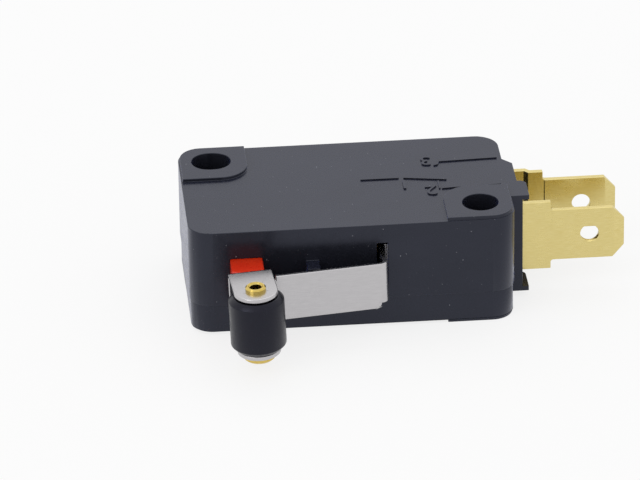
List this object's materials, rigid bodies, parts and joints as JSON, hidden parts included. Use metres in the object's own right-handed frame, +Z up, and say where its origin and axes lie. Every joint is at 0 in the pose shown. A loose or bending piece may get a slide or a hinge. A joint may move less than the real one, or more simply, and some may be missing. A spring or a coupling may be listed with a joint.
{
  "type": "micro switch",
  "caption": "Snap-action micro switch in a flat black case with a red plunger, a hinged steel lever carrying a roller, and three flat push-on tabs.",
  "frame": {"origin": "axis of the round mounting hole in the plane of the lower mounting pads", "axes": "+X along the case towards the two end tabs, +Y from the plunger face to the far face, +Z up through the thickness; the switch lies on its lower pads"},
  "size_m": [0.0377, 0.0327, 0.01],
  "materials": {
    "case_plastic": "moulded thermoset, satin gloss",
    "plunger_plastic": "moulded, smooth",
    "lever_steel": "rolled stainless strip",
    "roller_plastic": "turned, satin",
    "rivet_brass": "bright",
    "tab_brass": "stamped, satin",
    "contact_silver": "bright silver alloy",
    "blade_copper": "rolled copper alloy strip",
    "spring_steel": "drawn wire"
  },
  "bodies": {
    "body": {"case": "case_plastic", "cover": "case_plastic", "com_terminal": "tab_brass", "nc_terminal": "tab_brass", "no_terminal": "tab_brass", "nc_contact": "contact_silver", "no_contact": "contact_silver"},
    "lever": {"lever": "lever_steel", "roller_rivet": "rivet_brass"},
    "roller": {"roller": "roller_plastic"},
    "plunger": {"plunger": "plunger_plastic"},
    "contact_blade": {"contact_blade": "blade_copper", "moving_contact": "contact_silver", "snap_spring": "spring_steel"},
    "trip_arm": {"trip_arm": "blade_copper"}
  },
  "joints": [
    {"name": "lever_press", "type": "hinge", "parent": "body", "child": "lever", "pos_m": [-0.00865, -0.0025, 0.0051], "axis": [0.0349, 0, -0.9994], "range_deg": [0, 6], "stiffness_Nm_per_rad": 0.03, "springref_deg": -11.46},
    {"name": "roller_spin", "type": "hinge", "parent": "lever", "child": "roller", "pos_m": [-0.0198, -0.00925, 0.00471], "axis": [-0.0349, 0, 0.9994], "continuous": true},
    {"name": "plunger_travel", "type": "slide", "parent": "body", "child": "plunger", "axis": [0, 1, 0], "range_m": [0, 0.00122]},
    {"name": "trip_swing", "type": "hinge", "parent": "body", "child": "trip_arm", "pos_m": [-0.0134, 0.0058, 0.005], "axis": [0, 0, -1], "range_deg": [0, 10.2]},
    {"name": "contact_changeover", "type": "hinge", "parent": "body", "child": "contact_blade", "pos_m": [-0.0129, 0.0056, 0.005], "axis": [0, 0, 1], "range_deg": [0, 4.21], "deforming": ["snap_spring"]}
  ],
  "couplings": [
    {"joint": "plunger_travel", "follows": "lever_press", "m_per_rad": 0.01156},
    {"joint": "trip_swing", "follows": "lever_press", "ratio": 1.6917},
    {"joint": "contact_changeover", "follows": "lever_press", "ratio": 0.7}
  ]
}
